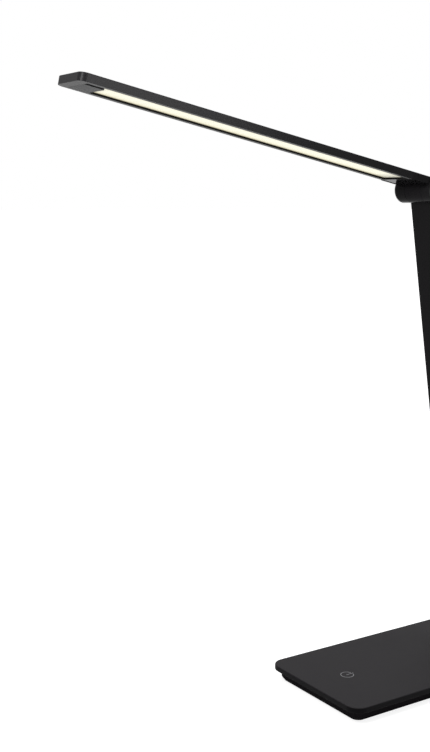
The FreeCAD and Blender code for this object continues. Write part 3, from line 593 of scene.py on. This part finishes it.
def padTree():
    tree, inputs, output = startTree("gripPad", padSizes)
    outline = treeOutline(tree, inputs["Length"], inputs["Width"], inputs)
    sheet = addNode(tree, "GeometryNodeFillCurve", Curve=outline).outputs["Mesh"]
    thick = addNode(tree, "GeometryNodeExtrudeMesh", Mesh=sheet, Offset_Scale=inputs["Skin"],
                    Individual=False)
    under = addNode(tree, "GeometryNodeFlipFaces", Mesh=sheet)
    skin = treeJoin(tree, under.outputs["Mesh"], thick.outputs["Mesh"])
    lifted = addNode(tree, "GeometryNodeTransform", Geometry=skin,
                     Translation=treeVector(tree, 0.0, 0.0, inputs["Stud Height"]))
    margins = addMath(tree, "MULTIPLY", inputs["Margin"], 2)
    grid = addNode(tree, "GeometryNodeMeshGrid", Vertices_X=inputs["Columns"], Vertices_Y=inputs["Rows"],
                   Size_X=addMath(tree, "SUBTRACT", inputs["Length"], margins),
                   Size_Y=addMath(tree, "SUBTRACT", inputs["Width"], margins))
    stud = addNode(tree, "GeometryNodeMeshCone", Vertices=inputs["Stud Sides"],
                   Radius_Top=inputs["Stud Radius"],
                   Radius_Bottom=addMath(tree, "MULTIPLY", inputs["Stud Radius"], inputs["Stud Taper"]),
                   Depth=addMath(tree, "ADD", inputs["Stud Height"], inputs["Stud Bury"]))
    studs = addNode(tree, "GeometryNodeInstanceOnPoints", Points=grid.outputs["Mesh"],
                    Instance=stud.outputs["Mesh"])
    both = treeJoin(tree, studs.outputs["Instances"], lifted.outputs["Geometry"])
    closeTree(tree, both, finishes["padRubber"], output)
    return tree


growPiece("gripPad", padTree(), padSizes, baseSpace, finishes["padRubber"], "base", "rubber", "antislip_pad",
          sharpAngle=studAngle)
print("foot pad built")

# Arm: the swept tube, its lower fork, and the plug that closes its top just under the barrel
tubeSizes = {"Thickness": 6.0, "Width": 31.0, "Corner": 1.2, "Corner Steps": 8, "Start": 16.0, "End": 344.6}
plugSizes = {"length": tubeSizes["Thickness"], "width": tubeSizes["Width"], "corner": tubeSizes["Corner"],
             "low": tubeSizes["End"], "high": 359.32, "lowEdge": 0.03, "highEdge": 0.2}
forkEdge = 0.18


def tubeTree():
    tree, inputs, output = startTree("armTube", tubeSizes)
    outline = treeOutline(tree, inputs["Thickness"], inputs["Width"], inputs)
    path = addNode(tree, "GeometryNodeCurvePrimitiveLine", Start=treeVector(tree, 0.0, 0.0, inputs["Start"]),
                   End=treeVector(tree, 0.0, 0.0, inputs["End"]))
    tube = addNode(tree, "GeometryNodeCurveToMesh", Curve=path.outputs["Curve"], Profile_Curve=outline,
                   Fill_Caps=True)
    closeTree(tree, tube.outputs["Mesh"], finishes["armBlack"], output)
    return tree


growPiece("armTube", tubeTree(), tubeSizes, armSpace, finishes["armBlack"], "arm", "black_aluminium",
          "arm_tube")
softCopy("armFork", "arm_lower_fork", finishes["barrelBlack"], "arm", "black_plastic", forkEdge)
bm = bmesh.new()
roundedSlab(bm, **plugSizes)
finishPiece("armPlug", bm, armSpace, finishes["armBlack"], "arm", "black_plastic", "arm_top_plug",
            "swivel_retainer")
print("arm built")

# Hinge end discs, turned, with a shallow dished face and a broken rim
discSizes = {"radius": 10.0, "inner": 18.5, "outer": 20.0, "rim": 0.5, "dishRadius": 8.6, "dish": 0.12,
             "dishSlope": 0.25}


def endDiscs(name, space, finish, body, nodeName):
    size = discSizes
    dishFloor = size["outer"] - size["dish"]
    profile = [(0, size["inner"]), (size["radius"], size["inner"])]
    for inset, rise in reversed(arcSteps(size["rim"], roundSteps["highEdge"])):
        profile.append((size["radius"] - inset, size["outer"] - rise))
    profile += [(size["dishRadius"] + size["dishSlope"], size["outer"]),
                (size["dishRadius"], dishFloor), (0, dishFloor)]
    bm = bmesh.new()
    for side in (-1, 1):
        turnRound(bm, [(radius, side * along) for radius, along in profile])
    finishPiece(name, bm, space, finish, body, "cap_grey", nodeName)


endDiscs("baseEndDiscs", armSpace, finishes["baseCapDisc"], "arm", "base_hinge_caps")
endDiscs("headEndDiscs", headSpace, finishes["headCapDisc"], "head", "head_hinge_caps")

# Swivel: the middle knuckle on its round neck
stemSizes = {"length": 5.8, "width": 5.8, "corner": 2.9, "low": -12.0, "high": -4.0, "lowEdge": 0.1,
             "highEdge": 0.1, "x": 4.2, "steps": 16}
bm = bmesh.new()
roundedSlab(bm, **stemSizes)
turnKnuckle(bm)
finishPiece("swivelKnuckle", bm, swivelSpace, finishes["barrelBlack"], "swivel", "black_plastic",
            "swivel_knuckle")

# A saddle under the barrel's rear half carries the arm's outline up to it
saddleSizes = {"front": 1.6, "rear": 7.2, "low": -10.02, "reach": 10.1, "half": 15.5, "corner": 1.2,
               "cornerSteps": 6, "arcSteps": 8}


def saddleLoop(y, rear):
    # Flat below, and above it the barrel's round at a small clearance
    size = saddleSizes
    stride = (size["front"] - rear) / size["arcSteps"]
    places = [rear + stride * step for step in range(size["arcSteps"] + 1)]
    under = [(size["front"], y, size["low"]), (rear, y, size["low"])]
    return under + [(x, y, -(size["reach"] ** 2 - x * x) ** 0.5) for x in places]


bm = bmesh.new()
size = saddleSizes
corner = arcSteps(size["corner"], size["cornerSteps"])
ends = [(size["half"] - rise, size["rear"] - inset) for inset, rise in corner]
loops = [saddleLoop(-y, rear) for y, rear in ends] + [saddleLoop(y, rear) for y, rear in reversed(ends)]
stackLoops(bm, loops)
finishPiece("swivelSaddle", bm, swivelSpace, finishes["armBlack"], "swivel", "black_plastic")

# Head: the bar's section, shared by the rear block and the shell
barSizes = {"half": 17.5, "low": 2.1, "high": 7.8, "lowEdge": 0.12, "highEdge": 0.5, "join": -27.0}
barLevels = edgeLevels(barSizes["low"], barSizes["high"], barSizes["lowEdge"], barSizes["highEdge"])

# The fork's block runs on to the end of the lit strip, with a thin rim below its far side
blockSizes = {"rear": -21.5, "rimRear": -8.0, "rimWidth": 0.6, "rimDrop": 0.35, "rimSunk": 0.3,
              "rimCorner": 0.1, "rimEdge": 0.05}
bm = wholeCopy("head_fork")
bm.transform(headSpace.inverted())
farSide = [(barSizes["half"] - inset, z) for inset, z in barLevels]
nearSide = [(-y, z) for y, z in reversed(farSide)]
stackLoops(bm, [[(x, y, z) for y, z in farSide + nearSide] for x in (blockSizes["rear"], barSizes["join"])])
slabBetween(bm, barSizes["join"], blockSizes["rimRear"], barSizes["half"] - blockSizes["rimWidth"],
            barSizes["half"], corner=blockSizes["rimCorner"], low=barSizes["low"] - blockSizes["rimDrop"],
            high=barSizes["low"] + blockSizes["rimSunk"], lowEdge=blockSizes["rimEdge"],
            highEdge=blockSizes["rimEdge"])
finishPiece("headFork", bm, headSpace, finishes["forkGloss"], "head", "black_plastic", "head_fork",
            bevel=forkEdge)
print("hinges built")

# One shell from the rear block to the tip, open below for the cover plate and the lit strip
shellSizes = {"tip": -305.9, "corner": 5.0, "cornerSteps": 12, "mouthStart": -27.6, "mouthTip": -298.5,
              "mouthHalf": 13.1, "mouthDeep": 5.3, "mouthEdge": 0.25, "mouthSteps": 3, "rearShare": 0.5}


def shellOutline(inset):
    size = shellSizes
    half, tip, corner = barSizes["half"] - inset, size["tip"] + inset, size["corner"] - inset
    points = [(barSizes["join"], -half), (barSizes["join"], half)]
    for sy, start in ((1, 90), (-1, 180)):
        for step in range(size["cornerSteps"] + 1):
            turn = radians(start + 90 * step / size["cornerSteps"])
            points.append((tip + corner + corner * cos(turn), sy * (half - corner) + corner * sin(turn)))
    return points


def mouthOutline(inset):
    # The shell's outline held inside the mouth, so that both have the same count of points.
    # At the rear end the mouth's rounded edge is narrower, by rearShare
    size = shellSizes
    low, high = size["mouthTip"] - inset, size["mouthStart"] + inset * size["rearShare"]
    half = size["mouthHalf"] + inset
    return [(min(max(x, low), high), min(max(y, -half), half)) for x, y in shellOutline(0)]


bm = bmesh.new()
size = shellSizes
levels = [[(x, y, size["mouthDeep"]) for x, y in mouthOutline(0)]]
for inset, rise in reversed(arcSteps(size["mouthEdge"], size["mouthSteps"])):
    levels.append([(x, y, barSizes["low"] + rise) for x, y in mouthOutline(inset)])
levels += [[(x, y, z) for x, y in shellOutline(inset)] for inset, z in barLevels]
stackLoops(bm, levels)
finishPiece("headShell", bm, headSpace, finishes["headBlack"], "head", "black_aluminium", "head_profile",
            "tip_cap")

coverSizes = {"start": -298.4, "end": -284.25, "near": -8.6, "far": 12.95, "low": 2.1, "high": 5.2,
              "corner": 0.3, "lowEdge": 0.06, "highEdge": 0.06}
bm = bmesh.new()
slabBetween(bm, **coverSizes)
finishPiece("coverPlate", bm, headSpace, finishes["coverGrey"], "head", "cover_plate", "tip_cover_plate")

stripSizes = {"start": -284.0, "end": -28.4, "near": -13.0, "far": 13.0, "low": 3.45, "high": 5.2,
              "corner": 0.2, "lowEdge": 0.1, "highEdge": 0.1}
bm = bmesh.new()
slabBetween(bm, **stripSizes)
strip = finishPiece("litStrip", bm, headSpace, finishes["litDiffuser"], "head", "diffuser", "diffuser")
toStrip = headSpace.inverted()
stripLength, stripWidth = stripSizes["end"] - stripSizes["start"], stripSizes["far"] - stripSizes["near"]
stripMap = strip.data.uv_layers.new(name="strip")
for loop in strip.data.loops:
    place = toStrip @ strip.data.vertices[loop.vertex_index].co
    stripMap.data[loop.index].uv = ((place.x - stripSizes["start"]) / stripLength,
                                    (place.y - stripSizes["near"]) / stripWidth)
print("head built")

# Solids that stay as they are, by finish
keptSolids = {
    "ballastIron": ("ballast_plate",),
    "boardGreen": ("control_board",),
    "chipBlack": ("board_parts",),
    "pinSteel": ("dc_pin",),
    "bushBrass": ("touch_electrode", "swivel_bush"),
    "wireSheath": ("base_wires", "arm_wire", "head_wire"),
    "frictionFibre": ("swivel_washer", "base_hinge_friction_washers", "head_hinge_friction_washers"),
    "platedSteel": ("touch_spring", "base_screws", "foot_screws", "base_hinge_axle", "base_hinge_disc_spring",
                    "base_hinge_nut", "head_hinge_axle", "head_hinge_disc_spring", "head_hinge_nut"),
    "lightBoard": ("led_board",),
    "lightChip": ("leds",),
}
for finishName, nodeNames in keptSolids.items():
    for nodeName in nodeNames:
        for holder in nodes[nodeName].material_slots:
            holder.material = finishes[finishName]
print("kept solids dressed:", sum(len(nodeNames) for nodeNames in keptSolids.values()))


# Studio: world, floor, lights, camera

studio = {"ambient": 0.12, "floorSize": 90.0, "floorDrop": 0.0004, "floorTone": 0.45, "floorPale": 0.4545,
          "floorClouds": 3, "floorRough": 0.9, "floorLift": 0.88}


def seenLevel(tree, low, high):
    # The high level for rays that reach the camera straight, mirrored or through glass, the low one for light
    path = tree.nodes.new("ShaderNodeLightPath").outputs
    seen = addMath(tree, "MAXIMUM", path["Is Camera Ray"], path["Is Glossy Ray"])
    return addRange(tree, addMath(tree, "MAXIMUM", seen, path["Is Transmission Ray"]), low, high, 0, 1)


world = bpy.data.worlds.new("studioWorld")
bpy.context.scene.world = world
world.use_nodes = True
tree = world.node_tree
fillNode(tree, tree.nodes["Background"], Color=(*white, 1), Strength=seenLevel(tree, studio["ambient"], 1.0))

bm = bmesh.new()
bmesh.ops.create_grid(bm, x_segments=1, y_segments=1, size=studio["floorSize"] / 2)
mesh = bpy.data.meshes.new("floor")
bm.to_mesh(mesh)
bm.free()
mesh.transform(Matrix.Translation((0, 0, -studio["floorDrop"])))
floor = bpy.data.objects.new("floor", mesh)
bpy.context.collection.objects.link(floor)
floorFinish, tree, shader, coords = startFinish("paleFloor")
cloud = addNoise(tree, coords, studio["floorClouds"])
fillNode(tree, shader, Base_Color=addBlend(tree, cloud, [studio["floorTone"]] * 3, [studio["floorPale"]] * 3),
         Roughness=studio["floorRough"], Specular_IOR_Level=0.0, Emission_Color=(*white, 1),
         Emission_Strength=seenLevel(tree, 0.0, studio["floorLift"]))
mesh.materials.append(floorFinish)


def softBox(name, place, target, width, height, power, spread):
    lamp = bpy.data.lights.new(name, "AREA")
    lamp.shape = "RECTANGLE"
    lamp.size = width
    lamp.size_y = height
    lamp.energy = power
    lamp.spread = radians(spread)
    holder = bpy.data.objects.new(name, lamp)
    holder.location = place
    holder.rotation_euler = (Vector(target) - Vector(place)).to_track_quat("-Z", "Y").to_euler()
    holder.visible_camera = False
    bpy.context.collection.objects.link(holder)


# Two cards light the head's near side, fading from the tip, and the tip's corner
cards = {
    "sideCard": {"place": (-0.12, -0.35, 0.49), "target": (-0.25, -0.017, 0.442),
                 "width": 0.25, "height": 0.2, "power": 0.32, "spread": 75},
    "cornerCard": {"place": (-0.501, -0.12, 0.55), "target": (-0.293, -0.016, 0.458),
                   "width": 0.085, "height": 0.16, "power": 1.45, "spread": 180},
}
for name, values in cards.items():
    softBox(name, **values)

skyLook = {"strength": 2.7, "spread": 60}
sky = bpy.data.lights.new("overhead", "SUN")
sky.energy = skyLook["strength"]
sky.angle = radians(skyLook["spread"])
bpy.context.collection.objects.link(bpy.data.objects.new("overhead", sky))

# The camera that was fitted to the photo; focus and frame height in the photo's pixels
cameraPlace = {"position": (-0.616504, -0.66032, 0.382276), "yaw": 33.149, "pitch": 8.667, "focus": 1145.834,
               "frameHeight": 752, "sensor": 36.0, "nearest": 0.01}
lens = bpy.data.cameras.new("photoCamera")
lens.sensor_fit = "VERTICAL"
lens.sensor_height = cameraPlace["sensor"]
lens.lens = cameraPlace["focus"] * cameraPlace["sensor"] / cameraPlace["frameHeight"]
lens.clip_start = cameraPlace["nearest"]
camera = bpy.data.objects.new("photoCamera", lens)
camera.location = cameraPlace["position"]
camera.rotation_euler = (radians(90 - cameraPlace["pitch"]), 0, -radians(cameraPlace["yaw"]))
bpy.context.collection.objects.link(camera)
bpy.context.scene.camera = camera
bpy.context.scene.view_settings.view_transform = "Standard"
print("studio set")
